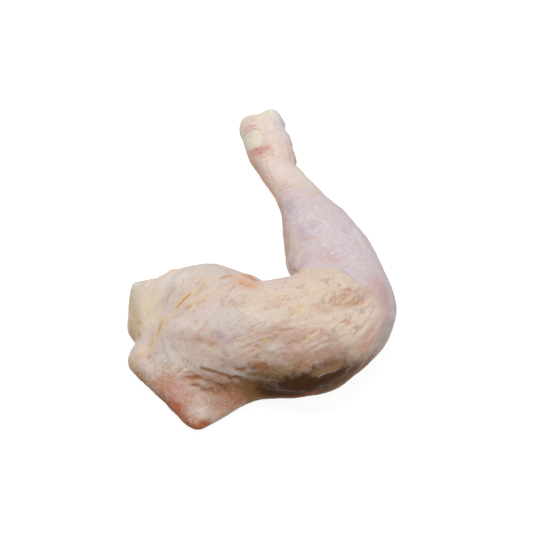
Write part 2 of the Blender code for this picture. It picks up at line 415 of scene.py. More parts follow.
# Colours as they read on a colour chart, 0 to 255. The first tints are laid before the fine noise, the next
# ones after it, and the last ones after the skin's own relief, each group in its order.
FIRST_TINTS = {
    "cream": (211, 193, 171),
    "film": (204, 194, 187),
    "tallow": (219, 205, 182),
    "shell": (226, 208, 198),
}
NEXT_TINTS = {
    "rosy": (192, 158, 140),
    "lilac": (206, 192, 196),
    "milk": (218, 208, 200),
    "pearl": (220, 208, 213),
    # The next tint is partly painted light, on the flank, the knee's lower side and a crease's lip.
    "pale": (228, 205, 188),
    "apricot": (214, 166, 134),
    "bone": (226, 217, 200),
    "patch": (222, 214, 194),
    "nub": (208, 210, 202),
    "green_fat": (198, 190, 162),
    "khaki": (192, 176, 146),
    "mottle": (194, 164, 152),
    "pink": (200, 152, 140),
    "blush": (202, 166, 168),
    "yellow_fat": (222, 196, 150),
    "dusk": (190, 168, 176),
}
LAST_TINTS = {
    "ochre": (196, 150, 114),
    "pore": (194, 142, 100),
    # The next tint is the reddish skin of the edges, made lighter with painted light.
    "ruddy": (222, 178, 156),
    "russet": (150, 100, 76),
    "sienna": (170, 117, 82),
    # The next four tints are partly painted shade, under the thigh's belly, in the valley beside it, in the
    # flap's creases and along the flap's lower edge, and partly the brownish skin there.
    "olive": (142, 114, 62),
    "brown": (142, 88, 56),
    "umber": (130, 90, 48),
    "shade": (78, 46, 18),
    "tan": (156, 116, 82),
    # The next tint is a painted highlight along the lip above the belly's dark band.
    "crest_line": (226, 214, 206),
    "orange_fat": (198, 143, 98),
    "yolk": (210, 180, 118),
    "rust": (178, 98, 58),
    "blood": (196, 108, 98),
    "flesh": (190, 112, 98),
    "meat": (152, 62, 38),
    "sinew": (226, 206, 198),
}
TINTS = {
    "skin": (210, 190, 178),
    "warm": (222, 190, 160),
    "cool": (206, 192, 200),
    # The next four tints lay painted shade in the relief's hollows and painted light on its crests, partly
    # over the follicles' own paler tone.
    "dim_shaded_trough": (184, 158, 154),
    "crest": (216, 202, 183),
    "cool_lit_crest": (222, 212, 213),
    "shaded_trough": (188, 142, 114),
    **FIRST_TINTS,
    **NEXT_TINTS,
    **LAST_TINTS,
}

# Where each tint lies: for each place a route, half the width and the strength, with 1 or -1 where the
# mark keeps to the right or the left of its route.
MARKS = {
    "cream": {
        "thigh_edge": (THIGH_EDGE, 9, 1.0, 1),
        "thigh_top": ([(290, 303), (320, 303), (350, 312), (362, 325)], 12, 0.9),
        "thigh_left": ([(245, 300), (262, 296), (280, 292)], 9, 0.6),
        "thigh_right": ([(346, 326), (352, 345)], 6, 0.9),
    },
    "film": {
        "hip_middle": ([(210, 310), (225, 325), (215, 340)], 12, 0.9),
        "thigh_middle": ([(245, 318), (262, 326), (280, 334)], 7, 0.5),
        "flap": ([(180, 402), (192, 405), (208, 406), (214, 400)], 6, 0.8),
        "hip_top": ([(180, 272), (194, 268), (212, 270), (224, 276)], 6, 0.9),
        "hip_back": ([(-52, -14, 16), (-26, -8, 16), (0, -14, 16)], 15, 0.9),
    },
    "tallow": {
        "pad": ([(155, 284), (150, 300), (148, 320)], 8, 1.1),
    },
    "shell": {
        "knuckle": ([(250, 126), (266, 122), (278, 126), (282, 156)], 10, 1.0),
        "shank": ([(272, 160), (281, 170), (290, 180)], 7, 0.9),
        "crotch_pale": ([(287, 244), (290, 258)], 3.2, 0.8),
        "pad_top": ([(136, 284), (150, 282), (160, 279), (172, 273), (184, 268)], 4, 0.7),
        "flap": ([(141, 350), (145, 360), (150, 370)], 3.5, 0.8),
    },
    "rosy": {
        "knee_trough_1": ([(332, 304), (345, 305), (360, 304)], 4, 0.6),
        "knee_trough_2": ([(344, 296), (358, 294), (370, 291)], 3.4, 0.8),
        "thigh_left": ([(266, 333), (285, 331), (302, 335)], 5, 0.9),
        "thigh_right": ([(310, 333), (324, 338), (340, 341)], 5, 0.55),
        "thigh_top": ([(316, 307), (326, 310), (334, 312)], 3, 0.6),
        "thigh_middle": ([(262, 302), (275, 305), (286, 303)], 3, 0.4),
        "thigh_low": ([(262, 350), (285, 352), (320, 350), (336, 347)], 6, 0.35),
        "thigh_lowest": ([(290, 358), (306, 358), (328, 354)], 5, 0.9),
        "thigh_end": ([(316, 354), (330, 354), (344, 354)], 4.5, 1.0),
        "hip_back_low": ([(-36, -14, 3), (-14, -13, 3)], 7, 0.6),
        "hip_1": ([(194, 338), (201, 341)], 3, 1.1),
        "hip_2": ([(206, 342), (217, 344)], 3, 1.1),
        "hip_3": ([(210, 356), (216, 358)], 1.8, 0.9),
        "hip_4": ([(222, 300), (222, 306)], 1.8, 0.6),
        "hip_5": ([(231, 302), (233, 305), (246, 307)], 1.6, 0.5),
        "hip_low": ([(164, 344), (185, 344), (205, 346), (236, 346)], 7, 0.5),
        "flank": ([(234, 360), (246, 357), (256, 356)], 3, 0.8),
        "flank_mottle_1": ([(208, 351), (220, 355)], 2.0, 0.8),
        "flank_mottle_2": ([(225, 358), (234, 362)], 2.0, 0.9),
        "flank_mottle_3": ([(212, 361), (221, 364)], 1.5, 0.8),
        "flap": ([(160, 385), (178, 400), (198, 401), (218, 399), (236, 394)], 8, 0.6),
        "flap_low_middle": ([(200, 416), (212, 411), (226, 407)], 5, 0.6),
        "crumple_low": ([(200, 391), (222, 391)], 3.4, 0.7),
    },
    "lilac": {
        "heel_film": ([(280, 122), (283, 130), (286, 138)], 3.6, 0.6),
        "calf": ([(295, 202), (308, 215), (325, 230), (345, 245), (368, 270)], 14, 1.0),
        "calf_left": ([(295, 212), (303, 235), (312, 255)], 6, 0.8),
        "calf_right": ([(324, 200), (338, 211), (350, 225), (362, 241), (375, 260)], 9, 1.0),
        "calf_beside_thigh": (THIGH_EDGE, 9, 1.0, -1),
        "calf_underside": ([(38, -10, 0), (30, 5, 0), (20, 30, 0), (8, 52, 0)], 18, 0.8),
        "calf_side": ([(62, -35, 8), (55, -7, 8), (46, 10, 8), (35, 26, 6)], 15, 0.9),
        "knee_side": ([(384, 276), (390, 298), (393, 312), (390, 324)], 6, 0.9),
        "hip_low": ([(215, 338), (226, 342), (236, 346)], 4, 0.3),
        "hip_left": ([(163, 352), (176, 360)], 5, 0.6),
    },
    "milk": {
        "heel_foot_film": ([(295, 168), (302, 176), (310, 186)], 4.0, 0.7),
        "knuckle_cap_right": ([(274, 115), (280, 121)], 4.0, 1.1),
        "thigh_left_top": ([(256, 283), (268, 283), (280, 281)], 3.4, 0.6),
        "pale_1": ([(328, 306), (342, 304)], 2.6, 0.3),
        "pale_2": ([(325, 318), (345, 314)], 2.6, 0.4),
        "pale_3": ([(252, 315), (258, 319), (266, 324)], 3.5, 0.5),
        "pale_4": ([(290, 320), (300, 324)], 3.0, 0.4),
        "pale_5": ([(348, 311), (360, 316)], 2.4, 0.7),
        "pale_6": ([(272, 290), (284, 294)], 3.0, 0.4),
        "left_film": ([(165, 350), (180, 356), (195, 367)], 8, 0.9),
        "flap_film_low": ([(193, 417), (203, 411), (212, 404)], 4, 0.5),
        "hip": ([(163, 284), (170, 278), (182, 280)], 5, 0.9),
        "hip_lilac": ([(170, 330), (182, 324), (196, 330)], 4, 0.6),
        "flap": ([(152, 362), (158, 373)], 3.0, 0.6),
        "flap_pale": ([(198, 398), (202, 406), (206, 414)], 4, 0.35),
    },
    "pearl": {
        "heel_milk": ([(277, 119), (281, 128), (285, 136)], 4.4, 0.9),
        "calf_edge_pale": ([(355, 230), (361, 240), (371, 254)], 3.0, 0.7),
    },
    # Partly painted light, partly the skin's own light tone, on the flank and the knee's lower side.
    "pale": {
        "flank": ([(188, 357), (205, 356), (225, 357), (243, 355)], 7, 0.9),
        "knee_low": ([(344, 322), (358, 330), (372, 325), (376, 312)], 8, 0.8),
        "knee_low_edge": ([(358, 350), (366, 346), (373, 340)], 4, 0.7),
        "belly_end": ([(358, 358), (362, 352), (366, 345)], 2.4, 0.5),
    },
    "apricot": {
        "crotch": ([(289, 262), (291, 268), (294, 272)], 2.6, 0.6),
        "flank_peach": ([(240, 362), (255, 352), (280, 354)], 6, 0.2),
        "lobe_ochre": ([(230, 277), (238, 277), (245, 279)], 1.6, 0.5),
        "lobe_blush": ([(240, 281), (247, 284), (253, 286)], 3.6, 1.0),
        "crumple": ([(190, 376), (205, 377), (220, 379), (232, 382)], 4.0, 0.6),
        "flap_low_edge": ([(215, 416), (230, 409), (246, 401)], 1.6, 0.8),
    },
    "bone": {
        "knuckle_rim": ([(243, 118), (240, 126), (243, 139), (247, 150)], 2.8, 0.85),
        "knuckle_cap": ([(262, 114), (268, 112), (275, 113)], 4, 0.8),
        "knuckle_cap_spot": ([(268, 119), (271, 127)], 2.4, 0.8),
    },
    "patch": {
        "knuckle_low": ([(248, 141), (251, 148)], 3.4, 1.0),
        "knuckle_high": ([(255, 132), (257, 144)], 3.6, 1.0),
    },
    "nub": {
        "pad": ([(134, 285), (140, 282)], 2.2, 1.1),
    },
    "green_fat": {
        "knuckle_rim_green": ([(240, 126), (240, 133)], 1.6, 0.6),
        "pad_edge": ([(132, 292), (131, 305), (133, 322), (135, 335)], 3.2, 0.9),
        "pad_fold": ([(165, 298), (160, 305), (154, 312)], 3.0, 0.6),
        "pad_nub_shade": ([(137, 281), (143, 281)], 0.9, 0.9),
        "flap_edge_top": ([(131, 350), (128, 357), (130, 366)], 1.5, 1.0),
    },
    "khaki": {
        "hip_back": ([(-58, -18, 6), (-46, -14, 8)], 7, 0.6),
        "hip": ([(182, 303), (195, 297), (208, 300)], 7, 0.35),
        "pad": ([(131, 298), (133, 310), (137, 322), (136, 334)], 3.6, 0.9),
        "flap_right_edge": ([(220, 415), (230, 409)], 1.6, 0.4),
    },
    "mottle": {
        "heel_edge": ([(288, 133), (291, 142), (293, 152), (295, 163)], 1.4, 0.6),
        "shin_edge": ([(278, 203), (283, 218), (286, 238), (288, 252)], 3.4, 1.3),
        "lobe_right": ([(252, 282), (259, 283)], 1.8, 0.7),
        "crumple_left": ([(172, 378), (184, 380), (190, 384)], 4.0, 0.6),
    },
    "pink": {
        "wrinkle_blush": ([(244, 133), (248, 129), (253, 127)], 1.6, 0.5),
        "blood_band": ([(249, 157), (254, 153), (259, 151), (266, 148)], 3.0, 1.0),
        "blood_blush": ([(266, 143), (270, 147), (271, 153)], 2.0, 0.5),
        "blood_band_low": ([(259, 156), (265, 156)], 1.4, 0.5),
        "calf_blush": ([(327, 259), (337, 262)], 2.8, 0.5),
        "thigh_blush": ([(305, 288), (307, 293)], 2.0, 0.3),
        "flap": ([(164, 384), (172, 392), (181, 400)], 6.0, 1.0),
        "flap_low": ([(174, 400), (182, 410), (190, 420)], 4.5, 0.75),
    },
    "blush": {
        "shin": ([(282, 182), (288, 190), (294, 197)], 4, 0.35),
        "crotch": ([(306, 262), (300, 268)], 2.6, 0.6),
        "knee": ([(377, 281), (382, 290), (386, 302)], 6, 0.9),
        "knee_low": ([(388, 305), (386, 322), (380, 336)], 5, 0.5),
        "flap": ([(164, 395), (169, 398)], 1.8, 1.0),
    },
    "yellow_fat": {
        "hip_yellow": ([(203, 284), (207, 281)], 1.6, 0.5),
        "pad_fat": ([(138, 306), (144, 305), (150, 311)], 2.4, 0.4),
        "upper_streak_halo": ([(175, 308), (183, 299), (190, 292), (198, 291)], 1.6, 0.6),
        "lower_streak_halo": ([(189, 307), (197, 304), (209, 297)], 1.5, 0.6),
        "left_streak_halo": ([(158, 332), (163, 321), (169, 316)], 2.2, 0.6),
        "left_fat": ([(158, 333), (155, 340), (152, 348)], 2.0, 0.6),
        "flap_top": ([(133, 361), (139, 356), (144, 352)], 3, 0.5),
        "flap_rim_fat": ([(131, 364), (138, 374), (147, 382)], 2.6, 0.8),
    },
    "dusk": {
        "calf_spot_1": ([(299, 228), (304, 236)], 2.8, 0.7),
        "calf_spot_2": ([(311, 222), (314, 229)], 2.2, 0.5),
        "calf_spot_3": ([(287, 204), (290, 214)], 3.6, 0.9),
        "calf_spot_4": ([(341, 229), (349, 234)], 2.6, 0.5),
        "calf_spot_5": ([(341, 269), (348, 274)], 1.4, 0.7),
        "calf_back_edge": ([(337, 206), (345, 213), (353, 221)], 1.6, 0.5),
        "calf_blush_high": ([(320, 254), (338, 256)], 4.5, 0.5),
        "hip_spot_1": ([(216, 335), (223, 336)], 2.4, 0.8),
        "hip_spot_2": ([(226, 341), (230, 342)], 1.8, 0.7),
        "hip_spot_3": ([(222, 350), (226, 352)], 1.6, 0.7),
    },
    "ochre": {
        "calf_streak": ([(300, 240), (308, 238), (318, 238)], 1.0, 0.5),
        "crotch_warm": ([(290, 266), (293, 272), (297, 269)], 1.8, 0.5),
        "knee_trough_1": ([(346, 306), (354, 303), (362, 301)], 1.8, 0.5),
        "knee_trough_2": ([(337, 299), (346, 298)], 1.6, 0.45),
        "pad_edge_low": ([(131, 324), (134, 338)], 2.6, 0.7),
        "pad_rust": ([(133, 313), (138, 318), (139, 325)], 1.6, 0.45),
        "lower_streak": ([(187, 308), (191, 307)], 1.2, 0.8),
        "flap_ruddy": ([(154, 383), (162, 386), (170, 382)], 3.4, 0.6),
    },
    # Reddish edges made lighter with painted light, at the ankle and the thigh's side.
    "ruddy": {
        "ankle_edge": (
            [(248, 156), (252, 162), (258, 170), (264, 180), (271, 191), (277, 201)],
            3.8, 1.0,
        ),
        "thigh_side": ([(358, 350), (366, 344), (372, 336)], 4, 0.8),
    },
    "russet": {
        "belly_end_rim": ([(344, 383), (353, 376), (362, 368), (366, 364)], 6.0, 1.1),
        "belly_end_brown": ([(322, 363), (334, 361), (345, 361)], 4.6, 0.5),
        "belly_rim": ([(258, 397), (272, 397), (292, 396), (314, 392)], 4.0, 0.5),
    },
    "sienna": {
        "hip_brown_1": ([(197, 338), (201, 340)], 1.6, 0.5),
        "hip_brown_2": ([(209, 343), (215, 344)], 1.4, 0.5),
        "lobe_crease": ([(240, 283), (246, 286), (251, 285)], 0.9, 0.5),
        "flap_right": ([(216, 403), (232, 401), (246, 397)], 5.0, 0.7),
        "flap_left": ([(164, 390), (171, 395), (178, 402)], 3.0, 0.35),
        "flap_low_rosy": ([(172, 402), (181, 411), (193, 423)], 4.4, 0.45),
        "crumple_middle": ([(186, 383), (200, 386), (212, 389)], 4.0, 0.45),
        "crumple_right": ([(214, 390), (228, 388), (248, 388)], 5.0, 1.0),
        "flap_dark": ([(232, 397), (248, 394), (262, 393)], 5.5, 1.1),
        "flank": ([(252, 366), (262, 366), (272, 370)], 3.4, 0.95),
        "belly_top": ([(284, 361), (296, 360), (308, 359)], 3.4, 0.4),
        "belly_top_low": ([(286, 368), (296, 367), (308, 366)], 3.4, 0.7),
        "knee_rim": ([(362, 366), (367, 360), (371, 355)], 4.2, 0.5),
        "belly_end": ([(350, 359), (358, 359), (366, 356), (373, 351)], 3.0, 0.35),
    },
    # Partly painted shade in the valley under the thigh, partly the skin's own brownish tone.
    "olive": {
        "flank_1": ([(248, 374), (256, 374)], 1.8, 0.8),
        "flank_2": ([(245, 391), (252, 393)], 2.2, 0.9),
        "flank_3": ([(246, 381), (256, 385), (262, 380)], 4, 0.9),
        "belly": ([(262, 376), (280, 373), (296, 371)], 4.0, 0.7),
    },
    # Partly painted shade along the flap's lower edge, partly the skin's own brownish tone.
    "brown": {
        "flap_edge": ([(136, 377), (150, 390), (165, 403)], 2.4, 1.1),
        "flap_edge_low": ([(163, 401), (176, 416), (192, 430)], 3.6, 1.2),
    },
    # Partly painted shade along the belly and in the valley beside it, partly the skin's own brownish tone.
    "umber": {
        "flank_brown": ([(258, 374), (270, 378), (284, 380)], 4, 0.8),
        "flank": ([(246, 383), (254, 388), (266, 388)], 4.6, 0.8),
        "belly": ([(268, 382), (290, 380), (310, 376), (328, 373), (342, 368)], 4.6, 0.75),
        "belly_end": ([(322, 369), (334, 367), (346, 366), (354, 367)], 4.4, 0.8),
        "belly_end_low": ([(349, 365), (356, 364), (362, 362)], 3.0, 0.7),
        "belly_low": ([(262, 394), (280, 395), (296, 395), (312, 393), (328, 389), (342, 382)], 7.0, 1.0),
        "belly_corner": ([(330, 386), (340, 381), (349, 375), (356, 370)], 6.5, 1.2),
    },
    # Painted shade under the belly's lip and along its underside, over the brownish thin skin on the meat.
    "shade": {
        "belly_under_edge": (BELLY_EDGE, 4.0, 1.0, -1),
        "belly": ([(286, 387), (300, 386), (316, 383), (334, 378)], 6.5, 1.4),
        "belly_left": ([(262, 384), (275, 388), (286, 390)], 4.5, 0.8),
        "belly_low": ([(266, 391), (280, 393), (296, 393), (310, 391), (322, 388)], 5.2, 1.0),
        "belly_corner": ([(340, 380), (346, 375), (351, 371), (356, 368)], 4.2, 0.8),
    },
    "tan": {
        "flap_rim_shade": ([(131, 366), (141, 376), (152, 386), (160, 394)], 3.4, 0.55),
        # A soft painted halo round the highlight on the belly's lip.
        "belly_highlight_halo": ([(314, 374), (327, 370), (340, 365)], 2.0, 0.9),
        "belly": ([(336, 380), (345, 376), (352, 371)], 3.0, 0.5),
    },
    # A painted highlight along the belly's lip.
    "crest_line": {
        "belly_highlight": ([(318, 377), (324, 374), (331, 372), (339, 369)], 0.7, 0.5),
    },
    "orange_fat": {
        "upper_streak": ([(176, 308), (180, 304), (185, 299), (191, 293)], 0.7, 1.0),
        "lower_streak": ([(197, 304), (201, 302), (204, 300)], 1.2, 0.7),
        "left_streak": ([(157, 336), (160, 327), (163, 321)], 1.1, 0.7),
        "left_fat_blush": ([(153, 336), (152, 342), (150, 347)], 1.4, 0.5),
        "lobe_fat": ([(221, 279), (226, 277), (231, 276)], 1.2, 0.7),
        "lobe_rim": ([(243, 275), (250, 277), (258, 281)], 2.0, 0.9),
    },
    "yolk": {
        "belly_fat_spot": ([(284, 370), (291, 367)], 1.4, 0.35),
    },
    "rust": {
        "flap_edge": ([(168, 402), (175, 411), (184, 421)], 3.0, 0.7),
        "flap_tip": ([(196, 428), (202, 426), (207, 424)], 2.8, 1.0),
    },
    "meat": {
        "belly_glimpse": ([(297, 396), (304, 395), (312, 393), (320, 391)], 1.7, 1.1),
    },
}

# How far a tint is broken up: its least and greatest share of its mask, and the values of the mask that its
# edge eases in between.
SOFT = (0.6, 1.2, 0.0, 1.0)
BREAKS = {
    "cream": (0.75, 1.15, 0.0, 1.0),
    "lilac": (0.75, 1.15, 0.1, 0.8),
    "film": (0.75, 1.15, 0.0, 1.0),
    "tallow": (0.85, 1.1, 0.0, 0.9),
    "shell": (0.8, 1.1, 0.0, 0.9),
    "patch": (0.85, 1.1, 0.3, 0.7),
    "crest_line": (0.6, 1.2, 0.1, 0.8),
    "shade": (0.8, 1.15, 0.1, 0.9),
    "orange_fat": (0.45, 1.3, 0.15, 0.95),
    "blood": (0.4, 1.3, 0.15, 0.95),
    "flesh": (0.9, 1.1, 0.3, 0.7),
    "meat": (0.6, 1.3, 0.15, 0.95),
    "ruddy": (0.85, 1.15, 0.1, 0.9),
    "umber": (0.8, 1.12, 0.0, 1.0),
    "russet": (0.8, 1.1, 0.0, 1.0),
}

# The textures of the finish, in millimetres. The fleck has a size, a detail and a roughness, streaks have a
# length and a width, and a bump has a strength and a depth. A cloud has a tint, a size, the range of values
# that it eases in over and its greatest share, and limits are the last three of these.
FLECK = (1.1, 4, 0.6)
FLECK_RANGE = (0.25, 0.65)
FINE_STREAKS = (3.0, 0.9)
LONG_STREAKS = (7, 2.0)
LONG_STREAK_LIMITS = (0.52, 0.7, 0.4)
CLOUDS = [("warm", 3.2, 0.5, 0.7, 0.24), ("cool", 4.1, 0.48, 0.7, 0.38)]
MOTTLE_SIZE = 1.7
MOTTLE_LIMITS = (0.5, 0.75, 0.24)
FINE_BUMP_SIZE = 0.7
FINE_BUMP = (0.4, 0.2)
STREAK_BUMP = (0.3, 0.25)

# How the skin's relief is tinted. A range is the values of a mask that something eases in between, and
# where two more numbers follow, they are its strength at each end.
STREAK_RANGE = (0.25, 0.75)
STREAK_HEIGHT = 0.2
TROUGH_RANGE = (0.0, 0.42, 0.65, 0.0)
CREST_RANGE = (0.5, 1.0)
PLAIN_RANGE = (0.2, 0.9, 1.0, 0.0)
NOT_ROSY_RANGE = (0.1, 0.9, 0.6, 0.3)

# The gloss of moist skin, which is uneven and duller in the deep shade.
MOISTURE_SIZE = 2.2
MOISTURE_RANGE = (0.3, 0.7, 0.45, 0.65)
SHADE_MATTE = 0.35
SKIN_GLOSS = {
    "Specular IOR Level": 0.3,
    "Subsurface Weight": 0.2,
    "Subsurface Radius": (1.0, 0.45, 0.3),
    "Subsurface Scale": 1.6 * MM,
    "Coat Weight": 0.05,
    "Coat Roughness": 0.25,
}

# The sockets of a mix node's share and of its two colours.
MIX_SHARE = 0
MIX_UNDER = 6
MIX_OVER = 7


def set_camera():
    """The camera where the photograph was taken from."""
    camera = bpy.data.objects.new("camera", bpy.data.cameras.new("camera"))
    bpy.context.scene.collection.objects.link(camera)
    camera.data.sensor_width = SENSOR
    camera.data.lens = LENS
    camera.data.clip_start = NEAREST * MM
    camera.location = (VIEW_TARGET + VIEW_BACK * VIEW_DISTANCE) * MM
    camera.rotation_euler = (math.pi / 2 - VIEW_ELEVATION, 0, 0)
    bpy.context.scene.camera = camera


def as_piece(name, bm):
    """An object made of a bmesh, which it frees."""
    mesh = bpy.data.meshes.new(name)
    bm.to_mesh(mesh)
    bm.free()
    piece = bpy.data.objects.new(name, mesh)
    bpy.context.scene.collection.objects.link(piece)
    return piece


def apply_modifiers(thing):
    bpy.context.view_layer.update()
    graph = bpy.context.evaluated_depsgraph_get()
    mesh = bpy.data.meshes.new_from_object(thing.evaluated_get(graph))
    thing.modifiers.clear()
    thing.data = mesh


def fine_copy(node, name):
    """The solid again as one even, fine mesh, its facets softened."""
    bm = bmesh.new()
    bm.from_mesh(node.data)
    bmesh.ops.remove_doubles(bm, verts=bm.verts, dist=WELD * MM)
    piece = as_piece(name, bm)
    remesh = piece.modifiers.new("Even", "REMESH")
    remesh.mode = "VOXEL"
    remesh.voxel_size = SKIN_VOXEL * MM
    smooth = piece.modifiers.new("Soften", "SMOOTH")
    smooth.factor = SMOOTH_SHARE
    smooth.iterations = FACET_SMOOTHING
    apply_modifiers(piece)
    return piece


def rows(table):
    """The rows of all of a table's entries."""
    return [row for entry in table.values() for row in entry]


def hill(away, reach):
    """1 where a distance is nothing, falling away to almost 0 at twice a reach."""
    return np.exp(-((away / reach) ** 2))


def beyond(away, reach):
    """From 0 on a route's left to 1 on its right, eased over a reach."""
    share = np.clip(0.5 + away / reach, 0, 1)
    return share * share * (3 - 2 * share)


def lengthways(along, end):
    """A half wave along a route, cut short by a share of itself at each end."""
    return np.sin(np.pi * (end + (1 - 2 * end) * along))


class Skin:
    """The skin's points in millimetres, their normals, and the masks that the finish reads."""

    def __init__(self, piece):
        self.piece = piece
        self.count = len(piece.data.vertices)
        self.masks = {}
        self.read()

    def read(self):
        """Takes the points and normals from the mesh."""
        mesh = self.piece.data
        self.places = np.empty((self.count, 3))
        self.normals = np.empty((self.count, 3))
        mesh.vertices.foreach_get("co", self.places.ravel())
        mesh.vertices.foreach_get("normal", self.normals.ravel())
        self.places /= MM
        self.faces = BVHTree.FromPolygons(
            self.places.tolist(), [face.vertices[:] for face in mesh.polygons]
        )
        self.points = kdtree.KDTree(self.count)
        for index, place in enumerate(self.places.tolist()):
            self.points.insert(place, index)
        self.points.balance()

    def write(self):
        """Puts the moved points back in the mesh."""
        self.piece.data.vertices.foreach_set("co", (self.places * MM).ravel())
        self.piece.data.update()

    def settle(self):
        """Puts the moved points in the mesh and takes its new normals."""
        self.write()
        self.read()

    def spot(self, place):
        """The point of the skin that shows at a pixel of the photograph, or nearest to it."""
        if len(place) == 3:
            return np.array(place)
        reach = LENS / SENSOR * PHOTO_SIDE
        across = VIEW_RIGHT * (place[0] - PHOTO_SIDE / 2)
        ray = (across + VIEW_UP * (PHOTO_SIDE / 2 - place[1]) - VIEW_BACK * reach).normalized()
        eye = VIEW_TARGET + VIEW_BACK * VIEW_DISTANCE
        hit = self.faces.ray_cast(eye, ray)[0]
        if hit is not None:
            return np.array(hit)
        offset = self.places - np.array(eye)
        beside = offset - (offset @ np.array(ray))[:, None] * np.array(ray)
        return self.places[(beside**2).sum(1).argmin()]

    def from_spot(self, place):
        """How far each point is from a place."""
        return np.linalg.norm(self.places - self.spot(place), axis=1)

    def from_route(self, places):
        """How far each point is from a route, positive on its right, and how far along it, 0 to 1."""
        route = [self.spot(place) for place in places]
        nearest = np.full(self.count, np.inf)
        side = np.ones(self.count)
        along = np.zeros(self.count)
        for i, (start, end) in enumerate(zip(route, route[1:])):
            step = end - start
            share = np.clip((self.places - start) @ step / (step @ step), 0, 1)
            offset = self.places - start - share[:, None] * step
            away = np.linalg.norm(offset, axis=1)
            closer = away < nearest
            nearest[closer] = away[closer]
            leftness = (np.cross(step, offset) * self.normals).sum(1)
            side[closer] = np.where(leftness > 0, -1, 1)[closer]
            along[closer] = (i + share[closer]) / (len(route) - 1)
        return side * nearest, along

    def within(self, zones):
        """A soft mask round some routes."""
        masks = [hill(self.from_route(route)[0], half_width) for route, half_width in zones]
        return np.maximum.reduce(masks)

    def waves(self, name, places=None):
        """The sum of a name's random waves at the points, or at other places given for them."""
        places = self.places if places is None else places
        total = np.zeros(self.count)
        for strength, size, seed in WAVES[name]:
            steps = (places / size + SEED_STEP * seed).tolist()
            total += strength * np.array([noise.noise(step) for step in steps])
        return total

    def paint(self, name, weight):
        """Adds to a mask where the weight is stronger than what is there."""
        self.masks[name] = np.maximum(self.masks.get(name, 0), weight)


def relax(skin):
    """Evens out the skin within the smooth zones."""
    edges = np.array([edge.vertices[:] for edge in skin.piece.data.edges])
    share = SMOOTH_SHARE * skin.within(SMOOTH_ZONES)[:, None]
    links = np.bincount(edges.ravel(), minlength=skin.count)[:, None]
    for _ in range(SMOOTH_PASSES):
        pull = np.zeros_like(skin.places)
        for axis in range(3):
            ends = skin.places[edges, axis]
            pull[:, axis] = np.bincount(edges.ravel(), ends[:, ::-1].ravel(), minlength=skin.count)
        skin.places += share * (pull / links - skin.places)


def press_folds(skin):
    """Moves the skin in along its creases and pits, out along its ridges, and up where it laps over."""
    wander = skin.waves("fold_wander")
    shift = np.zeros(skin.count)
    for route, depth, half_width, *_ in [*SHAPES.values(), *rows(FOLDS)]:
        away, along = skin.from_route(route)
        shift -= depth * hill(away + wander, half_width) * lengthways(along, FOLD_END)
    for place, depth, radius, *_ in rows(PORES):
        shift -= depth * hill(skin.from_spot(place), radius)
    for route, height, reach in LAPS.values():
        away, along = skin.from_route(route)
        lap = beyond(away + wander, EDGE_REACH) * hill(away, reach)
        shift += height * np.sqrt(lengthways(along, LAP_END)) * lap
    skin.places += skin.normals * shift[:, None]


def paint_marks(skin):
    """Lays the tints on the skin, with uneven edges and faint ends."""
    wander = skin.waves("mark_wander")
    marks = [(tint, *mark) for tint, places in MARKS.items() for mark in places.values()]
    for route, depth, half_width, *tinted in rows(FOLDS):
        if tinted:
            tint, strength = tinted
            marks.append((tint, route, CREASE_TINT_WIDTH * half_width, strength))
    for tint, route, half_width, strength, *sided in marks:
        away, along = skin.from_route(route)
        edge = away * (1 + MARK_RAGGEDNESS * wander)
        weight = strength * np.sqrt(lengthways(along, MARK_END)) * hill(edge, half_width)
        for side in sided:
            weight *= beyond(side * away + SIDE_RAGGEDNESS * wander, EDGE_REACH)
        skin.paint(tint, weight)
    for place, depth, radius, tint, strength in rows(PORES):
        away = skin.from_spot(place) * (1 + PORE_RAGGEDNESS * wander)
        skin.paint(tint, strength * hill(away, radius))


def bare_meat(skin):
    """The strands, sinews and fat of the underside, a little way back from the skin's edge."""
    away = np.abs(skin.from_route(MEAT_ROUTE)[0])
    rim = MEAT_HALF_WIDTH + skin.waves("meat_rim") - away
    inside = beyond(rim - MEAT_EDGE / 2, MEAT_EDGE)
    bent = skin.places.copy()
    bent[:, 1] += skin.waves("meat_bend")
    bundles = skin.waves("bundles", bent)
    strands = skin.waves("strands", bent)
    seams = hill(bundles, SEAM_WIDTH)
    depth = MEAT_DEPTH + SEAM_DEPTH * seams - STRAND_HEIGHT * strands
    skin.places -= skin.normals * (inside * depth)[:, None]
    skin.paint("flesh", inside)
    share, from_strands, from_bundles = DARK_MEAT
    dark = np.clip(share - from_strands * strands - from_bundles * bundles, 0, 1)
    skin.paint("meat", inside * dark)
    sinew = seams * np.clip(SINEW_SHARE + skin.waves("sinew_gaps"), 0, 1)
    skin.paint("sinew", SINEW_STRENGTH * inside * sinew)
    fat = hill(rim - MEAT_FAT_INSET, MEAT_FAT_WIDTH)
    skin.paint("yellow_fat", fat * np.clip(FAT_SHARE + skin.waves("fat_gaps"), 0, 1))


def grain_lines(skin):
    """The direction that the skin is drawn in at each point, along the skin."""
    tilt = np.radians(np.interp(skin.places[:, 0], *zip(*GRAIN_TILT)))
    right, up, back = (np.array(axis) for axis in (VIEW_RIGHT, VIEW_UP, VIEW_BACK))
    line = np.cos(tilt)[:, None] * right + np.sin(tilt)[:, None] * up
    facing = np.maximum(skin.normals @ back, LEAST_FACING)
    line = line - back * ((line * skin.normals).sum(1) / facing)[:, None]
    line -= skin.normals * (line * skin.normals).sum(1)[:, None]
    return line / (np.linalg.norm(line, axis=1)[:, None] + NOTHING)


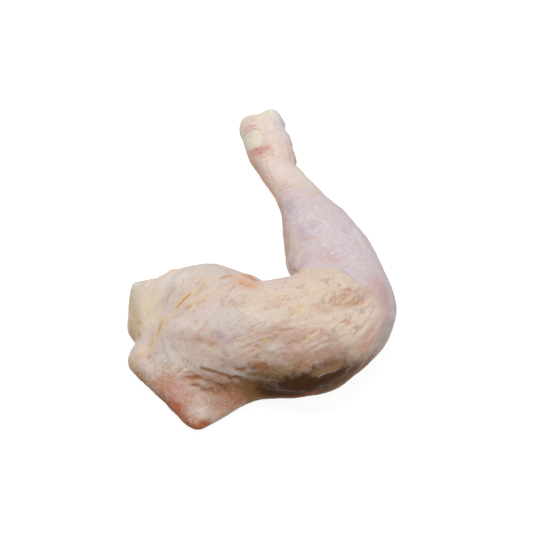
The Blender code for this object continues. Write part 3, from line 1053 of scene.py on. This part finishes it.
def grain_places(skin):
    """Each point's place along the grain, across it, and towards the camera."""
    right, up, back = (skin.places @ np.array(axis) for axis in (VIEW_RIGHT, VIEW_UP, VIEW_BACK))
    steps = np.linspace(-GRAIN_HALF_SPAN, GRAIN_HALF_SPAN, GRAIN_STEPS + 1)
    tilt = np.radians(np.interp(steps, *zip(*GRAIN_TILT)))
    stride = steps[1] - steps[0]
    climb = np.interp(right, steps, np.cumsum(np.tan(tilt)) * stride)
    length = np.interp(right, steps, np.cumsum(1 / np.cos(tilt)) * stride)
    across = GRAIN_SPREAD * (up - climb)
    return np.column_stack((length, across, back))


def puckers(skin, chance, draw):
    """Oval swells drawn out along the skin's grain, as heights of about 0 to 1."""
    long, wide = DOT_SIZE
    lines = grain_lines(skin)
    heights = np.zeros(skin.count)
    free = draw.random(skin.count) < chance
    for index in draw.permutation(np.flatnonzero(free)):
        if not free[index]:
            continue
        found = skin.points.find_range(skin.places[index], DOT_SPACING * long)
        near = np.array([point[1] for point in found])
        offset = skin.places[near] - skin.places[index]
        along = offset @ lines[index]
        across = np.sqrt(np.maximum((offset**2).sum(1) - along**2, 0))
        free[near[(along / long) ** 2 + (across / wide) ** 2 < DOT_SPACING**2]] = False
        size = draw.uniform(*DOT_SIZES)
        height = draw.uniform(*DOT_HEIGHTS)
        heights[near] += height * hill(along, size * long) * hill(across, size * wide)
    return heights


def draw_up_skin(skin):
    """Puckers, follicles and fine creases; a mask of painted light and shade on them, and of paler
    follicles.
    """
    grain = grain_places(skin)
    grain[:, 1] += skin.waves("grain_wander")
    zones = {name: skin.within(routes) for name, routes in ZONES.items()}
    under_edge = beyond(-skin.from_route(THIGH_EDGE)[0], EDGE_REACH)
    thigh = zones["thigh"] * (1 - UNDER_EDGE_SHARE * under_edge * zones["calf"])
    zones["thigh"] = np.maximum(thigh, SIDE_LEAST * zones["side"]) * (1 - SIDE_SHARE * zones["side"])
    forms = {
        "bulges": SWELL_GAIN * np.abs(skin.waves("bulges", grain)) - SWELL_LEVEL,
        "beads": SWELL_GAIN * np.abs(skin.waves("beads", grain)) - SWELL_LEVEL,
        "drape": skin.waves("drape", grain),
        "crumples": skin.waves("crumples"),
        "hip_creases": hill(skin.waves("hip_creases", grain), HIP_CREASE_WIDTH),
        "hip_ridges": hill(skin.waves("hip_ridges", grain), HIP_RIDGE_WIDTH),
        "flap_creases": hill(skin.waves("flap_creases"), FLAP_CREASE_WIDTH),
        "dots": puckers(skin, DOT_CHANCE * zones["calf"], np.random.default_rng(DOT_SEED)),
    }
    rise = np.zeros(skin.count)
    crest = CREST_LEVEL - CALF_DIMMING * zones["calf"]
    for zone, form, height, knee_height, tone, knee_tone in RELIEF:
        share = zones[zone] * forms[form]
        rise += share * (height + knee_height * zones["knee"])
        crest += share * (tone + knee_tone * zones["knee"])
    skin.places += skin.normals * rise[:, None]
    skin.masks["crest"] = np.clip(crest, 0, 1)


def linear(colour):
    """A chart colour as the shader's linear values."""
    shares = [value / 255 for value in colour]
    return [v / 12.92 if v <= 0.04045 else ((v + 0.055) / 1.055) ** 2.4 for v in shares] + [1]


class Finish:
    """The nodes of a material or of the room's light, which feed its shader."""

    def __init__(self, owner, shader="Principled BSDF"):
        self.owner = owner
        owner.use_nodes = True
        self.tree = owner.node_tree
        self.shader = self.tree.nodes[shader]

    def feed(self, node, values):
        """Links a node's inputs to outputs, or sets them to numbers or colours."""
        for name, value in values.items():
            if isinstance(value, bpy.types.NodeSocket):
                self.tree.links.new(value, node.inputs[name])
            else:
                node.inputs[name].default_value = value

    def add(self, kind, values=None, **settings):
        """A new node with its settings and inputs."""
        node = self.tree.nodes.new(kind)
        for name, value in settings.items():
            setattr(node, name, value)
        self.feed(node, values or {})
        return node

    def mask(self, name):
        return self.add("ShaderNodeAttribute", attribute_name=name).outputs["Fac"]

    def speckle(self, size, detail=3.0, roughness=0.5):
        """Random values from 0 to 1 that change over a size in millimetres."""
        place = self.add("ShaderNodeTexCoord").outputs["Object"]
        inputs = {"Vector": place, "Scale": 1 / (size * MM), "Detail": detail, "Roughness": roughness}
        return self.add("ShaderNodeTexNoise", inputs).outputs["Fac"]

    def streaks(self, long, wide, detail=2.0):
        """Random values from 0 to 1, drawn out along the skin's grain."""
        place = self.add("ShaderNodeAttribute", attribute_name="grain").outputs["Vector"]
        mapping = {"Vector": place, "Scale": (1 / long, 1 / wide, 1 / long)}
        place = self.add("ShaderNodeMapping", mapping).outputs["Vector"]
        inputs = {"Vector": place, "Scale": 1.0, "Detail": detail}
        return self.add("ShaderNodeTexNoise", inputs).outputs["Fac"]

    def reckon(self, kind, first, second, clamp=False):
        node = self.add("ShaderNodeMath", {0: first, 1: second}, operation=kind, use_clamp=clamp)
        return node.outputs[0]

    def times(self, first, second):
        return self.reckon("MULTIPLY", first, second)

    def spread(self, value, low, high, to_low=0.0, to_high=1.0, easing="SMOOTHSTEP"):
        """A value's range from low to high, eased into another range."""
        limits = {"From Min": low, "From Max": high, "To Min": to_low, "To Max": to_high}
        inputs = {"Value": value, **limits}
        return self.add("ShaderNodeMapRange", inputs, interpolation_type=easing).outputs["Result"]

    def blend(self, under, over, share):
        """One colour over another, by a share that is a number or an output."""
        inputs = {MIX_SHARE: share, MIX_UNDER: under, MIX_OVER: over}
        return self.add("ShaderNodeMix", inputs, data_type="RGBA").outputs[2]

    def lay(self, under, tint, share):
        """A tint over a colour, by a share."""
        return self.blend(under, linear(TINTS[tint]), share)

    def stain(self, under, tint, fleck):
        """A tint over a colour where its mask is, broken up by a fleck."""
        least, greatest, low, high = BREAKS.get(tint, SOFT)
        broken = self.times(self.mask(tint), self.spread(fleck, *FLECK_RANGE, least, greatest))
        return self.lay(under, tint, self.spread(broken, low, high))

    def cloud(self, under, tint, texture, low, high, share):
        """A tint over a colour, by a greatest share, where a texture is high."""
        return self.lay(under, tint, self.spread(texture, low, high, 0, share))

    def bump(self, height, strength, depth, over=None):
        """Relief in the shading alone: its strength, its depth, and the relief that it adds to."""
        inputs = {"Height": height, "Strength": strength, "Distance": depth * MM}
        if over:
            inputs["Normal"] = over
        return self.add("ShaderNodeBump", inputs).outputs["Normal"]


def raw_skin():
    """Moist skin: tints laid over each other by their masks, broken up by fine grain."""
    finish = Finish(bpy.data.materials.new("raw_skin"))
    fleck = finish.speckle(*FLECK)
    streak = finish.streaks(*FINE_STREAKS)
    colour = linear(TINTS["skin"])
    for tint in FIRST_TINTS:
        colour = finish.stain(colour, tint, fleck)
    for tint, size, *limits in CLOUDS:
        colour = finish.cloud(colour, tint, finish.speckle(size), *limits)
    colour = finish.cloud(colour, "warm", finish.streaks(*LONG_STREAKS), *LONG_STREAK_LIMITS)
    for tint in NEXT_TINTS:
        colour = finish.stain(colour, tint, fleck)
    colour = finish.cloud(colour, "mottle", finish.speckle(MOTTLE_SIZE), *MOTTLE_LIMITS)
    ripple = finish.spread(streak, *STREAK_RANGE, -STREAK_HEIGHT, STREAK_HEIGHT)
    height = finish.reckon("ADD", finish.mask("crest"), ripple)
    low = finish.spread(height, *TROUGH_RANGE)
    high = finish.spread(height, *CREST_RANGE)
    violet = finish.mask("lilac")
    plain = finish.spread(violet, *PLAIN_RANGE)
    not_rosy = finish.spread(finish.mask("rosy"), *NOT_ROSY_RANGE)
    # Painted shade in the relief's hollows and painted light on its crests, over the follicles' own paler
    # tone.
    colour = finish.lay(colour, "dim_shaded_trough", finish.times(low, violet))
    colour = finish.lay(colour, "shaded_trough", finish.times(low, plain))
    colour = finish.lay(colour, "cool_lit_crest", finish.times(high, violet))
    colour = finish.lay(colour, "crest", finish.times(finish.times(high, not_rosy), plain))
    for tint in LAST_TINTS:
        colour = finish.stain(colour, tint, fleck)
    moisture = finish.spread(finish.speckle(MOISTURE_SIZE), *MOISTURE_RANGE)
    matte = finish.times(finish.mask("shade"), SHADE_MATTE)
    fine = finish.bump(finish.speckle(FINE_BUMP_SIZE), *FINE_BUMP)
    surface = {
        "Base Color": colour,
        "Roughness": finish.reckon("ADD", moisture, matte, clamp=True),
        "Normal": finish.bump(streak, *STREAK_BUMP, over=fine),
    }
    finish.feed(finish.shader, {**surface, **SKIN_GLOSS})
    return finish.owner


def make_skin(frame):
    """The whole leg's surface as one piece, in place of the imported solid."""
    piece = fine_copy(frame["nodes"][NODE], "leg_skin")
    skin = Skin(piece)
    relax(skin)
    skin.settle()
    press_folds(skin)
    skin.settle()
    paint_marks(skin)
    bare_meat(skin)
    grain = grain_places(skin)
    draw_up_skin(skin)
    skin.places += skin.normals * skin.waves("undulation")[:, None]
    skin.places[:, 2] = np.maximum(skin.places[:, 2], 0)
    skin.write()
    for name, values in skin.masks.items():
        layer = piece.data.attributes.new(name, "FLOAT", "POINT")
        layer.data.foreach_set("value", np.clip(values, 0, 1).astype(np.float32))
    layer = piece.data.attributes.new("grain", "FLOAT_VECTOR", "POINT")
    layer.data.foreach_set("vector", grain.astype(np.float32).ravel())
    piece.data.shade_smooth()
    piece.data.materials.clear()
    piece.data.materials.append(raw_skin())
    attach(piece, "root")
    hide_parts(NODE)


def set_lamp():
    """A square soft box that faces the leg."""
    light = bpy.data.lights.new("soft_box", "AREA")
    light.shape = "SQUARE"
    light.size = LAMP_SIZE * MM
    light.energy = LAMP_POWER
    light.color = LAMP_COLOUR
    lamp = bpy.data.objects.new("soft_box", light)
    bpy.context.scene.collection.objects.link(lamp)
    lamp.location = LAMP_PLACE * MM
    lamp.rotation_euler = (VIEW_TARGET - LAMP_PLACE).to_track_quat("-Z", "Y").to_euler()


def set_room():
    """Even white light from above, behind and both sides, and a dim warm glow from below and in front."""
    world = bpy.data.worlds.new("room")
    bpy.context.scene.world = world
    room = Finish(world, "Background")
    direction = room.add("ShaderNodeTexCoord").outputs["Generated"]
    lift = room.add("ShaderNodeVectorMath", {0: direction, 1: ROOM_RISE}, operation="DOT_PRODUCT")
    aside = room.add("ShaderNodeSeparateXYZ", {0: direction}).outputs["X"]
    aside = room.times(room.reckon("ABSOLUTE", aside, 0), ROOM_SIDES)
    height = room.reckon("ADD", aside, lift.outputs["Value"])
    share = room.spread(height, *ROOM_DUSK, easing="LINEAR")
    room.feed(room.shader, {"Color": room.blend(ROOM_BELOW, ROOM_ABOVE, share)})


def set_floor():
    """A white floor that throws no light up at the leg and isn't mirrored in it."""
    bm = bmesh.new()
    bmesh.ops.create_grid(bm, x_segments=1, y_segments=1, size=FLOOR_HALF_SIDE * MM)
    floor = as_piece("floor", bm)
    floor.visible_diffuse = False
    floor.visible_glossy = False
    white = Finish(bpy.data.materials.new("floor_white"))
    white.feed(white.shader, FLOOR_WHITE)
    floor.data.materials.append(white.owner)


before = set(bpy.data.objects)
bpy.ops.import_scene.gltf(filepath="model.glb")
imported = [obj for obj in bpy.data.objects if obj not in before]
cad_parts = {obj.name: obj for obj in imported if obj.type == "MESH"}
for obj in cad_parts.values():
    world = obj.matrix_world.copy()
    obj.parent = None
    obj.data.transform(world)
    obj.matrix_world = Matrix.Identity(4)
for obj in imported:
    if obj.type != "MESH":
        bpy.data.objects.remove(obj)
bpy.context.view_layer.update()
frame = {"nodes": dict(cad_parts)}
set_camera()
make_skin(frame)
set_lamp()
set_room()
set_floor()
bpy.context.scene.view_settings.view_transform = "Standard"
